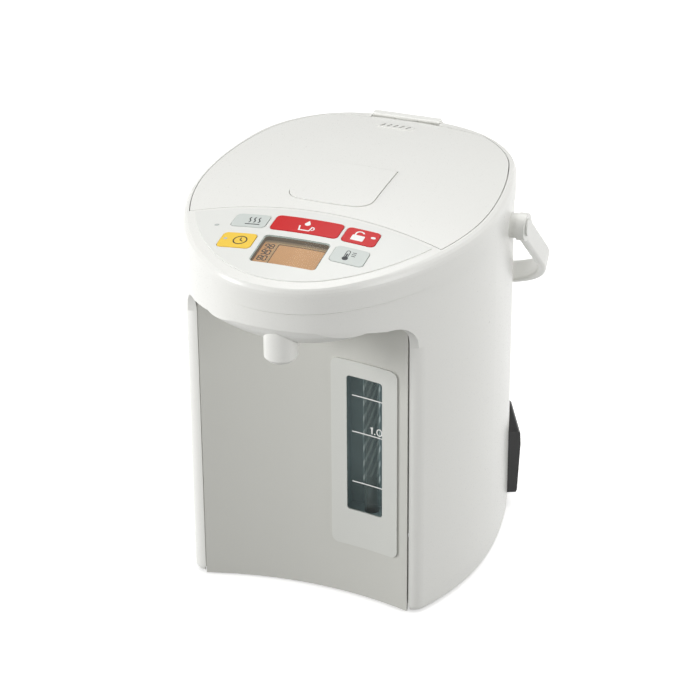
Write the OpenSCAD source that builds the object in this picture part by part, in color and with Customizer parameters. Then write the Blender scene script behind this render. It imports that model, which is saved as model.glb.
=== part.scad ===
// Electric thermo pot: a 2.2 litre hot water dispenser with a vacuum walled vessel.
// The spout points to -Y, +X is the side of the level gauge, +Z is up and z = 0 is the table.

/* [Body plan] */
// Overall width of the body
body_w = 210; // [190:1:240]
// Reach of the nose in front of the side tangent
front_reach = 148; // [135:1:165]
// Reach of the back behind the side tangent
back_reach = 132; // [122:1:150]
// Radius of the nose in plan
nose_r = 72; // [60:1:84]
// Radius of the rear corners in plan
rear_corner_r = 72.5; // [60:0.5:80]

/* [Heights] */
// Height of the seam between casing and top frame
seam_z = 246; // [226:1:290]
// Height of the groove under that seam
seam_groove = 0.6; // [0.4:0.1:1]
// Height of the crown of the domed top above the seam
crown_h = 30; // [27:1:33]
// How far the dome falls from its crown to the side rim
dome_h = 12; // [10:0.5:14]
// Half length over which the dome falls as far, front to back
dome_half_length = 140; // [130:1:150]
// Height of the rubber feet under the base plate
foot_h = 2; // [1.5:0.25:4]

/* [Walls and clearances] */
// Wall of the moulded shells
wall = 2.5; // [2:0.1:3]
// How far the casing stands inside the top frame's outline
casing_inset = 0.8; // [0.5:0.1:1.5]
// Gap between neighbouring pieces that don't touch
gap = 0.3; // [0.25:0.05:0.5]
// Gap between the front panel and the casing's strips
panel_gap = 0.9; // [0.3:0.1:0.9]
// Radial clearance of a pin that turns in its hole
pin_fit = 0.05; // [0.03:0.01:0.1]

/* [Front] */
// Distance of the panel's hollow middle in front of the side tangent
panel_y = 79; // [76:0.5:82]
// Distance of the panel's edges and the casing's strips in front of the side tangent
strip_y = 90; // [87:0.5:94]
// Radius of the casing's front corners
strip_r = 10; // [8:0.5:12]
// Height of the brow's lip above the table in the middle
lip_z = 233.6; // [214:0.2:240]
// Distance of the spout from the side tangent
spout_y = 127; // [120:1:130]
// Outer radius of the spout
spout_r = 11; // [9:0.5:12]
// Height of the spout's mouth
spout_z = 202; // [190:1:206]
// Radius of the cove between the brow and the front corners
cove_r = 20; // [14:1:24]
// Sideways radius of the bulge under the brow
bulge_r = 114; // [100:1:120]
// Lengthways radius of the bulge under the brow
bulge_long_r = 36; // [30:1:38]
// Depth of the bulge below the lip
bulge_depth = 24; // [18:0.5:25]

/* [Level gauge] */
// Centre of the gauge to the right of the middle
gauge_x = 41; // [36:0.5:44]
// Bottom of the gauge bezel
bezel_z = 41; // [38:1:50]
// Width of the gauge bezel
bezel_w = 49; // [44:1:52]
// Height of the gauge bezel
bezel_h = 142; // [130:1:150]
// Width of the gauge window
window_w = 26; // [22:1:28]
// Height of the gauge window
window_h = 102; // [90:1:110]
// Distance of the window's bottom above the bezel's bottom
window_rise = 28.5; // [24:0.5:32]
// Outer radius of the riser tube
riser_r = 5; // [4:0.5:6]

/* [Vessel] */
// Inner radius of the vessel
vessel_r = 79; // [72:0.5:80]
// Radius of the vessel's outer wall
jacket_r = 86; // [83:0.5:87]
// Radius of the vessel's mouth
mouth_r = 70; // [62:0.5:71]
// Distance of the vessel's axis behind the side tangent
vessel_y = 26; // [22:1:28]
// Height of the vessel's floor
vessel_z = 76; // [70:1:80]

/* [Lid] */
// Width of the rim outside the lid
rim_w = 5; // [4:0.5:7]
// Distance of the lid's front edge in front of the side tangent
lid_front = 56; // [52:1:60]
// Radius of the lid's front edge in plan
lid_front_r = 408; // [360:4:460]
// Distance of the lid's rear edge behind the side tangent
lid_back = 114; // [110:1:116]
// Width of the hinge knuckle
knuckle_w = 50; // [40:1:56]
// Radius of the hinge pin
hinge_pin_r = 2.5; // [2:0.25:3]

/* [Bail handle] */
// Distance of the handle's pivot behind the side tangent
bail_y = 42; // [34:1:46]
// Height of the pivot below the seam
bail_drop = 10; // [9.8:0.2:14]
// Gap between the hanging grip and the pot's back
grip_gap = 1.7; // [1:0.1:4]
// Thickness of the handle's band
bail_t = 6; // [5:0.5:7]
// Width of the handle's band
bail_band = 16; // [13:0.5:17]
// Outer radius of the handle's corners
bail_corner = 70; // [55:1:76]
// Angle of the hanging handle below level
bail_angle = 42; // [34:1:44]
// Radius of the handle's pivot pins
bail_pin_r = 4; // [3:0.25:5]

/* [Pump] */
// Pump centre to the right of the middle
pump_x = 28; // [26:1:30]
// Pump centre in front of the side tangent
pump_y = 31; // [29:1:33]
// Radius of the motor
motor_r = 14; // [11:0.5:15]
// Radius of the impeller
impeller_r = 14; // [11:0.5:15]

/* [Hidden] */
$fn = 96;

half_w = body_w / 2;

// Half of the plan is a chain of tangent arcs from the nose round to the back. They meet where
// their shared normal has short decimals, so that neighbours close exactly.
NORMALS = [[0, -1], [0.6, -0.8], [0.8, -0.6], [1, 0], [0.96, 0.28], [0.28, 0.96], [0, 1]];
front_side_r = 2.5 * front_reach + nose_r - 2.5 * half_w;
cheek_r = 5 * half_w - 3 * nose_r - front_side_r;
back_r = round(62.5 * (half_w - (back_reach - half_w) / 6 - 0.68 * rear_corner_r)) / 20;
rear_side_r = 25 * half_w - 17 * rear_corner_r - 7 * back_r;
RADII = [nose_r, cheek_r, front_side_r, rear_side_r, rear_corner_r, back_r];
function centre(i) = i == 0 ? [0, nose_r - front_reach]
    : centre(i - 1) + (RADII[i - 1] - RADII[i]) * NORMALS[i];

// An arc is [centre, radius, first normal, last normal].
OUTLINE = [for (i = [0 : 5]) [centre(i), RADII[i], NORMALS[i], NORMALS[i + 1]]];
FRONT_SIDE = OUTLINE[2];
CORNER = OUTLINE[4];
function on_arc(a, normal, inset) = a[0] + (a[1] - inset) * normal;
function unit(v) = v / norm(v);

// Front strips of the casing: round corners inside the flanks, with a flat beside the panel.
strip_cy = strip_y - strip_r;
strip_cx = sqrt(pow(front_side_r - strip_r, 2) - strip_cy * strip_cy) + FRONT_SIDE[0][0];
strip_normal = unit([strip_cx, -strip_cy] - FRONT_SIDE[0]);
strip_flat = 1;
strip_slip = 0.02;
STRIP = [[strip_cx, -strip_cy], strip_r - strip_slip, [0, -1], [cos(14), -sin(14)]];
SIDE_BEHIND_STRIP = [FRONT_SIDE[0], front_side_r, strip_normal, [1, 0]];
SIDE_OVER_STRIP = [FRONT_SIDE[0], front_side_r, [0.8, -0.6], strip_normal];
panel_half_w = strip_cx - strip_flat - panel_gap;
panel_dip = strip_y - panel_y;
panel_r = (panel_half_w * panel_half_w + panel_dip * panel_dip) / (2 * panel_dip);
panel_cy = -panel_y - panel_r;

// Heights
base_t = 3;
base_top = foot_h + base_t;
casing_z = foot_h - 0.5;
crown_z = seam_z + crown_h;
rim_z = crown_z - dome_h;
frame_floor = seam_z + 2;
well_z = frame_floor + wall + 0.5;
soffit_z = lip_z;
soffit_t = 2.4;
bulge_y = 108;
arch_r = 250;
opening_half = strip_cx - strip_flat;
opening_r = 14;
opening_foot = lip_z - arch_r + sqrt(pow(arch_r - opening_r, 2) - pow(opening_half - opening_r, 2));
cove_y = strip_y - casing_inset + cove_r;
cove_foot = lip_z - arch_r + sqrt(arch_r * arch_r - 67 * 67) - cove_r;
above_all = crown_z + 30;
dome_side_r = (half_w * half_w + dome_h * dome_h) / (2 * dome_h);
dome_long_r = (dome_half_length * dome_half_length + dome_h * dome_h) / (2 * dome_h);
dome_turn = 12;

// Lid
lid_gap = 0.6;
lid_under_z = well_z + 0.4;
lid_under_t = 2.1;
lid_skirt_z = lid_under_z + lid_under_t;
lid_front_cy = -lid_front - lid_front_r;
hinge_y = lid_back + 8;
hinge_z = well_z + 10.5;
knuckle_r = 5.5;
lever_front = 44;
lever_back = 16;
lever_half = 29;
lever_corner_r = 12;
lever_front_r = 120;
lever_float = 0.6;
lever_t = 4.6;
lever_axis_y = lever_back - 1.8;
lever_axis_z = crown_z - 2.8;
lever_pin_r = 1.2;
lever_rear_gap = 1.4;
tab_travel = 2;
notch_floor = hinge_z - knuckle_r - 4;
latch_spring_y = 16.2;
latch_spring_l = 10;
vent_y = 97;
vent_w = 27;
vent_d = 9;

// Control deck, in plan: [x, y, width, depth]
DISPENSE = [0, -77, 46, 17.5];
UNLOCK = [37, -77.7, 22.4, 17];
BOIL = [-38.5, -78, 23.4, 15.5];
TIMER = [-38.5, -102.4, 23, 16.8];
TEMPERATURE = [37.5, -101, 22.5, 17.5];
DISPLAY = [0, -108, 45, 31];
KEYS = [DISPENSE, UNLOCK, BOIL, TIMER, TEMPERATURE];
film_inset = 9;
film_t = 0.6;
key_proud = 0.9;
key_travel = 0.8;
key_foot_z = rim_z - 6;
board_t = 1.6;
switch_top = key_foot_z - key_travel - 0.1;
board_top = switch_top - 3.5;
BOARD_POSTS = [[-56, -70], [56, -70], [-36, -124], [36, -124]];

// Vessel
steel_t = 0.8;
vessel_floor_r = vessel_r - 8;
heater_t = 5;
jacket_z = vessel_z + 8;

// Pump line
pump_base = base_top + 3;
motor_h = 26;
rotor_z = pump_base + motor_h + 2;
partition_z = rotor_z + 6 + 1.5;
impeller_z = partition_z + 1.5 + 1;
impeller_h = 8;
pump_top = impeller_z + impeller_h + 3;
outlet_z = impeller_z + impeller_h / 2;
riser_y = 69;
elbow_r = riser_r + 2;
riser_bottom = outlet_z + elbow_r;
valve_z = bezel_z + bezel_h + 20;
valve_h = 27;
cross_z = valve_z + valve_h + 9;
pipe_r = riser_r;
bore_r = riser_r - 1.4;

// Bail handle
bail_z = seam_z - bail_drop;
bail_inner = half_w + 1.6;
bail_outer = bail_inner + bail_t;
bail_boss_r = 9.5;
bail_length = ceil(10 * (bail_t / 2 + (back_reach - casing_inset + grip_gap - bail_y
    + bail_band / 2 * sin(bail_angle)) / cos(bail_angle))) / 10;
bail_wall_x = sqrt(pow(rear_side_r - casing_inset, 2) - bail_y * bail_y) + OUTLINE[3][0][0];

// Power receptacle, on the right rear corner
socket_turn = 25;
socket_w = 46;
socket_z = 12;
socket_h = 50;

// ---------- shared shapes ----------

// Sweeps a 2D section along arcs of the right half: x = 0 is the outline and y is the height.
module half_ring(arcs)
    for (a = arcs) intersection() {
        translate([a[0][0], a[0][1], 0]) rotate_extrude($fn = 360) translate([a[1], 0]) children();
        translate([0, 0, -1]) linear_extrude(above_all + 12) polygon([
            on_arc(a, a[2], min(30, a[1] - 1)), on_arc(a, a[2], -20),
            on_arc(a, a[3], -20), on_arc(a, a[3], min(30, a[1] - 1))]);
    }

module ring(arcs = OUTLINE) {
    half_ring(arcs) children();
    mirror([1, 0, 0]) half_ring(arcs) children();
}

// A plate of the pot's plan, drawn in by inset.
module slab(inset, z0, z1) {
    core = [for (a = OUTLINE) for (n = [a[2], unit(a[2] + a[3])]) on_arc(a, n, inset + 9)];
    ring() translate([-inset - 18, z0]) square([18, z1 - z0]);
    translate([0, 0, z0]) linear_extrude(z1 - z0) polygon(concat(core, [on_arc(OUTLINE[5], [0, 1],
        inset + 9)], [for (i = [len(core) - 1 : -1 : 1]) [-core[i][0], core[i][1]]]));
}

// Everything under the domed top, which is offset by rise.
module dome(rise)
    translate([0, 0, crown_z - dome_long_r])
        rotate([0, -90, 0])
            rotate_extrude(angle = 2 * dome_turn, start = -dome_turn, $fn = 360)
                intersection() {
                    translate([dome_long_r - dome_side_r, 0]) circle(dome_side_r + rise, $fn = 720);
                    translate([dome_long_r - 80, -half_w - 20]) square([100, body_w + 40]);
                }

// Corner points of a rectangle with rounded corners about the origin.
function rounded(w, h, r, steps = 5) = [for (q = [0 : 3]) for (i = [0 : steps])
    let (a = 90 * (q + i / steps), sx = q == 0 || q == 3 ? 1 : -1, sy = q < 2 ? 1 : -1)
    [sx * (w / 2 - r) + r * cos(a), sy * (h / 2 - r) + r * sin(a)]];

module upright(w, d, r, z0, z1)
    translate([0, 0, z0]) linear_extrude(z1 - z0) polygon(rounded(w, d, r));

// A key's outline standing through the deck, grown by grow.
module key_prism(k, grow, z0, z1)
    translate([k[0], k[1], 0]) upright(k[2] + 2 * grow, k[3] + 2 * grow, 3 + grow, z0, z1);

// A curved sheet of the hollow front panel between two depths behind its face.
module panel_sheet(front, back, z0, z1)
    intersection() {
        translate([0, panel_cy, z0])
            rotate_extrude(angle = 50, start = 65, $fn = 360)
                translate([panel_r + front, 0]) square([back - front, z1 - z0]);
        translate([-panel_half_w, -strip_y - 20, z0]) cube([2 * panel_half_w, 60, z1 - z0]);
    }

// A rounded rectangle standing on the front panel, through it from front to back.
module panel_prism(x, z, w, h, r)
    translate([x, -40, z]) rotate([90, 0, 0]) linear_extrude(80) polygon(rounded(w, h, r));

module tube(r, bore, h)
    difference() {
        cylinder(r = r, h = h);
        translate([0, 0, -1]) cylinder(r = bore, h = h + 2);
    }

module along_x(r, x0, x1) translate([x0, 0, 0]) rotate([0, 90, 0]) cylinder(r = r, h = x1 - x0);

module in_front_of_lid(grow)
    translate([0, lid_front_cy, 0]) cylinder(r = lid_front_r + grow, h = above_all, $fn = 360);

module at_vessel() translate([0, vessel_y, 0]) children();

module at_pump() translate([pump_x, -pump_y, 0]) children();

module at_receptacle()
    translate([CORNER[0][0], CORNER[0][1], 0]) rotate([0, 0, socket_turn])
        translate([rear_corner_r, 0, 0]) children();

// ---------- outside ----------

module casing_wall_section()
    polygon([[-casing_inset - wall, casing_z], [-casing_inset - 1.7, casing_z + 0.2],
        [-casing_inset - 0.8, casing_z + 0.9], [-casing_inset - 0.2, casing_z + 2.1],
        [-casing_inset, casing_z + 3.6], [-casing_inset, seam_z - seam_groove],
        [-casing_inset - 1, seam_z - seam_groove], [-casing_inset - 1, seam_z],
        [-casing_inset - wall, seam_z], [-casing_inset - wall, base_top + 3], [-6, base_top + 3],
        [-6, base_top], [-casing_inset - wall, base_top]]);

// Opening under the brow, seen from the front: an arch with round upper corners.
module brow_opening() {
    turn = atan2(opening_half - opening_r, opening_foot - lip_z + arch_r);
    half = concat([[opening_half, 0]],
        [for (i = [0 : 8]) let (a = i / 8 * (90 - turn))
            [opening_half - opening_r + opening_r * cos(a), opening_foot + opening_r * sin(a)]],
        [for (i = [11 : -1 : 0]) let (a = i / 12 * turn)
            [arch_r * sin(a), lip_z - arch_r + arch_r * cos(a)]]);
    translate([0, -60, 0]) rotate([90, 0, 0]) linear_extrude(120)
        polygon(concat(half, [for (i = [len(half) - 2 : -1 : 0]) [-half[i][0], half[i][1]]]));
}

// The space in front of the strips and under the brow, seen from the side.
module brow_cove()
    translate([-half_w - 10, 0, 0]) rotate([90, 0, 90]) linear_extrude(body_w + 20) {
        translate([-cove_y - 40, 0]) square([40 + cove_r, cove_foot]);
        translate([-cove_y, cove_foot]) circle(cove_r, $fn = 180);
    }

module brow_corner()
    difference() {
        intersection() {
            slab(casing_inset, cove_foot, soffit_z);
            translate([opening_half - opening_r - 4, -cove_y - 2, 0])
                cube([60, cove_r + wall + 2, above_all]);
        }
        brow_cove();
        brow_opening();
        difference() {
            translate([0, -cove_y - 10, 0]) cube([opening_half, 80, above_all]);
            translate([0, panel_cy, -1]) cylinder(r = panel_r - gap, h = above_all + 2, $fn = 360);
        }
    }

SCREW_SPOTS = [for (p = [on_arc(FRONT_SIDE, unit([4, -1]), 10), on_arc(CORNER, [0.6, 0.8], 10)])
    for (s = [-1, 1]) [s * p[0], p[1]]];

module body_casing()
    color("whitesmoke") difference() {
        union() {
            ring([SIDE_BEHIND_STRIP, OUTLINE[3], CORNER, OUTLINE[5]]) casing_wall_section();
            ring([STRIP])
                polygon([[-casing_inset - wall, casing_z], [-casing_inset - 0.8, casing_z + 0.9],
                    [-casing_inset, casing_z + 3.6], [-casing_inset, cove_foot],
                    [-casing_inset - wall, cove_foot]]);
            difference() {
                ring([OUTLINE[0], OUTLINE[1], SIDE_OVER_STRIP])
                    polygon([[-casing_inset - wall, cove_foot], [-casing_inset, cove_foot],
                        [-casing_inset, seam_z - seam_groove], [-casing_inset - 1, seam_z - seam_groove],
                        [-casing_inset - 1, seam_z], [-casing_inset - wall, seam_z]]);
                brow_opening();
                brow_cove();
            }
            brow_corner();
            mirror([1, 0, 0]) brow_corner();
            for (s = [0, 1]) mirror([s, 0, 0]) {
                translate([strip_cx - strip_flat, casing_inset + strip_slip - strip_y, casing_z + 3.6])
                    cube([strip_flat, wall, cove_foot - casing_z - 3.6]);
                translate([strip_cx - strip_flat, casing_inset + 1 - strip_y, base_top])
                    cube([wall, 16, cove_foot + 2 - base_top]);
            }
            for (p = SCREW_SPOTS)
                translate([p[0], p[1], base_top]) tube(5.5, 1.5, 14);
        }
        at_receptacle() translate([-12, -socket_w / 2 - gap, socket_z - gap])
            cube([24, socket_w + 2 * gap, socket_h + 2 * gap]);
        translate([0, bail_y, bail_z]) along_x(bail_pin_r, -half_w - 5, half_w + 5);
    }

module front_panel()
    color("gainsboro") difference() {
        panel_sheet(0, wall, casing_z, soffit_z - gap);
        panel_prism(gauge_x, bezel_z + window_rise + window_h / 2, window_w + 8, window_h + 8, 5);
    }

module gauge_bezel()
    color("silver") difference() {
        intersection() {
            panel_sheet(-1.2, -0.02, casing_z, soffit_z);
            panel_prism(gauge_x, bezel_z + bezel_h / 2, bezel_w, bezel_h, 5);
        }
        panel_prism(gauge_x, bezel_z + window_rise + window_h / 2,
            window_w + 0.4, window_h + 0.4, 2.2);
    }

module gauge_window()
    color("lightcyan", 0.5) union() {
        intersection() {
            panel_sheet(-0.9, 1, casing_z, soffit_z);
            panel_prism(gauge_x, bezel_z + window_rise + window_h / 2, window_w, window_h, 2);
        }
        intersection() {
            panel_sheet(0, wall, casing_z, soffit_z);
            panel_prism(gauge_x, bezel_z + window_rise + window_h / 2,
                window_w + 7.4, window_h + 7.4, 4.7);
        }
    }

module gauge_housing()
    color("dimgray") difference() {
        translate([gauge_x - 19, 8 - riser_y - 16, bezel_z + window_rise - 8])
            cube([38, 17.5, window_h + 16]);
        translate([gauge_x - 17, -riser_y - 20, bezel_z + window_rise - 6])
            cube([34, 26.5, window_h + 12]);
        translate([gauge_x, -riser_y, 0]) cylinder(r = riser_r + 0.1, h = seam_z);
        translate([0, panel_cy, 0]) cylinder(r = panel_r + wall, h = seam_z, $fn = 360);
    }

module riser_tube()
    color("azure", 0.5) translate([gauge_x, -riser_y, riser_bottom])
        tube(riser_r, bore_r, valve_z - riser_bottom);

// Everything above the bulge's surface, which is offset by rise, in the slice that it needs.
module bulge(rise)
    translate([0, -bulge_y, lip_z - bulge_depth + bulge_r]) rotate([90, 0, 0]) rotate_extrude($fn = 360)
        translate([bulge_r - bulge_long_r, 0]) circle(bulge_long_r + rise, $fn = 180);

// The underside of the nose: a flat soffit with a bulge that hangs around the spout.
module nose_cover()
    color("whitesmoke") difference() {
        intersection() {
            union() {
                slab(casing_inset + wall + gap, soffit_z, soffit_z + soffit_t);
                intersection() {
                    bulge(0);
                    slab(casing_inset + wall + gap, lip_z - bulge_depth - 2, soffit_z + soffit_t);
                }
            }
            translate([0, panel_cy, 0]) cylinder(r = panel_r - gap, h = seam_z, $fn = 360);
        }
        bulge(-wall);
        brow_corner_room();
        mirror([1, 0, 0]) brow_corner_room();
        translate([0, -spout_y, 0]) cylinder(r = spout_r - 2, h = seam_z);
    }

// Room for the casing's corners where the bulge passes them.
module brow_corner_room()
    translate([opening_half - opening_r - 5, -cove_y - 3, 0]) cube([60, cove_r + wall + 4, soffit_z]);

module spout()
    color("white") difference() {
        union() {
            difference() {
                union() {
                    translate([0, -spout_y, spout_z + 3]) cylinder(r = spout_r, h = 28);
                    translate([0, -spout_y, spout_z]) cylinder(r1 = spout_r - 2.6, r2 = spout_r, h = 3);
                    intersection() {
                        translate([0, -spout_y, spout_z + 9.5]) rotate([-52, 0, 0])
                            cylinder(r1 = spout_r - 1.5, r2 = spout_r + 6.3, h = 26);
                        translate([-20, -spout_y, spout_z]) cube([40, 60, 60]);
                    }
                }
                bulge(0.1);
            }
            translate([0, -spout_y, spout_z + 8]) cylinder(r = spout_r - 2.2, h = 16);
        }
        translate([0, -spout_y, spout_z - 1]) cylinder(r = pipe_r + 0.1, h = 40);
    }

module frame_section() {
    edge_r = 8;
    polygon(concat([[-18, seam_z], [0, seam_z], [0, rim_z + 2 - edge_r]],
        [for (a = [15 : 15 : 75]) [edge_r * (cos(a) - 1), rim_z + 2 + edge_r * (sin(a) - 1)]],
        [[-edge_r, rim_z + 2], [-edge_r, above_all], [-18, above_all]]));
}

module top_frame()
    color("white") union() {
        difference() {
            intersection() {
                union() {
                    ring() frame_section();
                    slab(10, seam_z, above_all);
                }
                dome(0);
            }
            slab(wall, seam_z - 1, frame_floor);
            intersection() {
                slab(wall, seam_z - 1, above_all - 1);
                dome(-wall);
                in_front_of_lid(-lid_gap - wall);
            }
            intersection() {
                slab(wall, seam_z - 1, above_all - 1);
                dome(-wall);
                translate([-half_w, lid_back + lid_gap + wall, 0]) cube([body_w, 60, above_all]);
                translate([-half_w, 0, 0]) difference() {
                    cube([body_w, back_reach + 10, above_all]);
                    translate([half_w - knuckle_w / 2 - 7, -1, -1])
                        cube([knuckle_w + 14, back_reach + 20, above_all + 2]);
                }
            }
            difference() {
                slab(rim_w, well_z, above_all + 1);
                in_front_of_lid(-lid_gap);
                translate([-half_w, lid_back + lid_gap, 0]) cube([body_w, 60, above_all + 2]);
            }
            at_vessel() cylinder(r = mouth_r + 3.2, h = above_all);
            translate([-59.6, hinge_y, hinge_z]) rotate([90, 0, 90]) linear_extrude(119.2)
                difference() {
                    translate([lid_back - hinge_y, 0]) square([hinge_y - lid_back, 40]);
                    circle(hinge_y - lid_back - 0.1);
                }
            translate([-knuckle_w / 2 - gap, lid_back, notch_floor])
                cube([knuckle_w + 2 * gap, 60, 60]);
            translate([0, hinge_y, hinge_z])
                along_x(hinge_pin_r, -knuckle_w / 2 - 5, knuckle_w / 2 + 5);
            for (k = KEYS) key_prism(k, 0.4, frame_floor, above_all);
            key_prism(DISPLAY, -0.5, frame_floor, above_all);
        }
        ring()
            polygon([[-5.8, seam_z - 2.6], [-3.6, seam_z - 2.6], [-3.6, seam_z], [-2, seam_z],
                [-2, frame_floor + 0.5], [-5.8, frame_floor + 0.5]]);
        intersection() {
            for (p = BOARD_POSTS)
                translate([p[0], p[1], board_top]) tube(3.5, 1.2, above_all - board_top);
            dome(-wall / 2);
        }
    }

module control_film()
    color("ivory") difference() {
        intersection() {
            slab(film_inset, rim_z - 8, above_all);
            in_front_of_lid(-4);
            dome(film_t);
        }
        dome(0);
        for (k = KEYS) key_prism(k, 0.4, 0, above_all);
        key_prism(DISPLAY, 0.05, 0, above_all);
    }

module display_window()
    color("tan") intersection() {
        difference() {
            key_prism(DISPLAY, 0, rim_z - 6, above_all);
            dome(0);
        }
        dome(film_t);
    }

module display_module()
    color("saddlebrown") translate([DISPLAY[0], DISPLAY[1], 0])
        upright(DISPLAY[2] - 2, DISPLAY[3] - 2, 1, board_top, rim_z - 1.5);

// A cap with a flange that stays under the deck and a stem that presses the switch below.
module key_cap(k) {
    difference() {
        union() {
            intersection() {
                key_prism(k, 0, key_foot_z, above_all);
                dome(key_proud);
            }
            intersection() {
                key_prism(k, 1.2, key_foot_z, above_all);
                dome(-wall - gap / 2);
            }
        }
        dome(-wall - gap / 2 - 1.6);
    }
    intersection() {
        translate([k[0], k[1], key_foot_z]) cylinder(r = 2.6, h = above_all);
        dome(-wall - 1);
    }
}

module dispense_key() color("crimson") key_cap(DISPENSE);
module unlock_key() color("crimson") key_cap(UNLOCK);
module boil_key() color("lightgray") key_cap(BOIL);
module timer_key() color("khaki") key_cap(TIMER);
module temperature_key() color("lightgray") key_cap(TEMPERATURE);

module panel_board()
    color("seagreen") difference() {
        translate([0, -95, board_top - board_t]) linear_extrude(board_t)
            polygon([[-60, 29], [60, 29], [60, 2], [42, -34], [-42, -34], [-60, 2]]);
        for (p = BOARD_POSTS) translate([p[0], p[1], board_top - 5]) cylinder(r = 1.4, h = 9);
    }

module key_switches()
    color("black") for (k = KEYS) {
        translate([k[0] - 3, k[1] - 3, board_top]) cube([6, 6, 2.6]);
        translate([k[0], k[1], board_top + 2.6]) cylinder(r = 1.75, h = 0.9);
    }

module panel_screws()
    color("silver") for (p = BOARD_POSTS) translate([p[0], p[1], board_top - board_t - 1.8]) {
        cylinder(r = 2.8, h = 1.8);
        cylinder(r = 1.2, h = 10);
    }

// Each pivot is a pin with a collar on the casing's flank, a flange inside and a cap outside.
module handle_bushes()
    color("white") difference() {
        translate([0, bail_y, bail_z]) for (s = [0, 1]) mirror([s, 0, 0]) {
            along_x(bail_pin_r, bail_wall_x - wall - 4, bail_outer + 1.5);
            along_x(bail_pin_r + 3, bail_wall_x - wall - 4, bail_wall_x - wall - 1.4);
            along_x(bail_boss_r - 1, bail_wall_x - 1.4, bail_inner - gap);
            along_x(bail_pin_r + 2, bail_outer + gap, bail_outer + 1.5);
        }
        difference() {
            slab(casing_inset - 0.02, bail_z - bail_boss_r, bail_z + bail_boss_r);
            translate([0, bail_y, bail_z]) along_x(bail_pin_r, -half_w - 5, half_w + 5);
            slab(casing_inset + wall + 0.5, bail_z - bail_boss_r - 1, bail_z + bail_boss_r + 1);
        }
    }

module bail_section()
    polygon(rounded(bail_t, bail_band, 2.4, 4));

// A band that hangs at the back: two arms, two round corners and the grip between them.
module bail_handle()
    color("white") translate([0, bail_y, bail_z]) rotate([-bail_angle, 0, 0]) difference() {
        union() {
            for (s = [-1, 1]) {
                translate([s * (bail_inner + bail_t / 2), 0, 0]) rotate([-90, 0, 0])
                    linear_extrude(bail_length + bail_t / 2 - bail_corner) bail_section();
                translate([s * (bail_outer - bail_corner), bail_length + bail_t / 2 - bail_corner, 0])
                    rotate_extrude(angle = 90, start = s > 0 ? 0 : 90)
                        translate([bail_corner - bail_t / 2, 0]) bail_section();
                along_x(bail_boss_r, s * bail_inner + (s < 0 ? -bail_t : 0),
                    s * bail_inner + (s < 0 ? 0 : bail_t));
            }
            translate([bail_corner - bail_outer, bail_length, 0]) rotate([0, 90, 0]) rotate([0, 0, 90])
                linear_extrude(2 * (bail_outer - bail_corner)) bail_section();
        }
        along_x(bail_pin_r + pin_fit, -bail_outer - 1, bail_outer + 1);
    }

module base_outline_cut() {
    translate([0, panel_cy, 0]) cylinder(r = panel_r + wall + gap, h = seam_z, $fn = 360);
    for (s = [-1, 1])
        translate([s * (strip_cx + 18) - 22, -strip_y - 20, 0]) cube([44, 41, seam_z]);
}

FEET = [[-60, -34], [60, -34], [-62, 84], [62, 84]];
foot_r = 8;

module base_plate()
    color("lightgray") difference() {
        union() {
            slab(casing_inset + wall + gap, foot_h, base_top);
            at_board() for (x = [4, 44]) for (y = [4, 84])
                translate([x, y, base_top]) cylinder(r = 3, h = board_z - base_top);
        }
        base_outline_cut();
        for (p = FEET) translate([p[0], p[1], 0]) cylinder(r = foot_r, h = foot_h + 1.5);
        for (p = SCREW_SPOTS) translate([p[0], p[1], 0]) {
            cylinder(r = 1.7, h = 40);
            cylinder(r = 4, h = foot_h + 1.6);
        }
        for (i = [-3 : 3]) translate([pump_x + 8 * i - 1.5, -8, 0]) cube([3, 26, base_top + 1]);
    }

module rubber_feet()
    color("dimgray") for (p = FEET) translate([p[0], p[1], 0]) cylinder(r = foot_r, h = foot_h + 1.5);

module base_screws()
    color("silver") for (p = SCREW_SPOTS) translate([p[0], p[1], foot_h]) {
        cylinder(r = 3.6, h = 1.6);
        cylinder(r = 1.5, h = 13);
    }

module power_receptacle()
    color("black") at_receptacle() difference() {
        union() {
            translate([0, socket_w / 2, 0]) rotate([90, 0, 0]) linear_extrude(socket_w)
                polygon([[-18, socket_z], [2.6, socket_z], [3.4, socket_z + 2], [5.2, socket_z + 40],
                    [4.8, socket_z + socket_h - 1.5], [3.4, socket_z + socket_h],
                    [-18, socket_z + socket_h]]);
            translate([-12, -socket_w / 2 - 3, socket_z - 3]) cube([3.6, socket_w + 6, socket_h + 6]);
        }
        translate([-10, -16, socket_z + 8]) cube([30, 32, socket_h - 18]);
        for (s = [-1, 1]) translate([-20, s * 7, socket_z + 24]) rotate([0, 90, 0]) cylinder(r = 2, h = 12);
    }

module receptacle_pins()
    color("silver") at_receptacle() for (s = [-1, 1])
        translate([-17, s * 7, socket_z + 24]) rotate([0, 90, 0]) {
            cylinder(r = 2, h = 14);
            translate([0, 0, 14]) sphere(2, $fn = 32);
        }

// ---------- vessel ----------

module inner_vessel()
    color("silver") at_vessel() difference() {
        rotate_extrude() difference() {
            polygon([[0, vessel_z], [vessel_floor_r, vessel_z], [vessel_r - 3, vessel_z + 2.5],
                [vessel_r, vessel_z + 8], [vessel_r, seam_z - 18], [mouth_r + 1.5, seam_z - 9],
                [mouth_r + 0.8, seam_z - 3], [mouth_r + 0.8, seam_z - steel_t],
                [jacket_r - 2, seam_z - steel_t], [jacket_r - 2, seam_z], [0, seam_z]]);
            polygon([[-1, vessel_z + steel_t], [vessel_floor_r, vessel_z + steel_t],
                [vessel_r - 3.3, vessel_z + 3.2], [vessel_r - steel_t, vessel_z + 8.2],
                [vessel_r - steel_t, seam_z - 18.4], [mouth_r + 0.7, seam_z - 9.4],
                [mouth_r, seam_z - 3], [mouth_r, seam_z + 1], [-1, seam_z + 1]]);
        }
        translate([pump_x, -pump_y - vessel_y, vessel_z - 1]) cylinder(r = bore_r, h = 3);
    }

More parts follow.
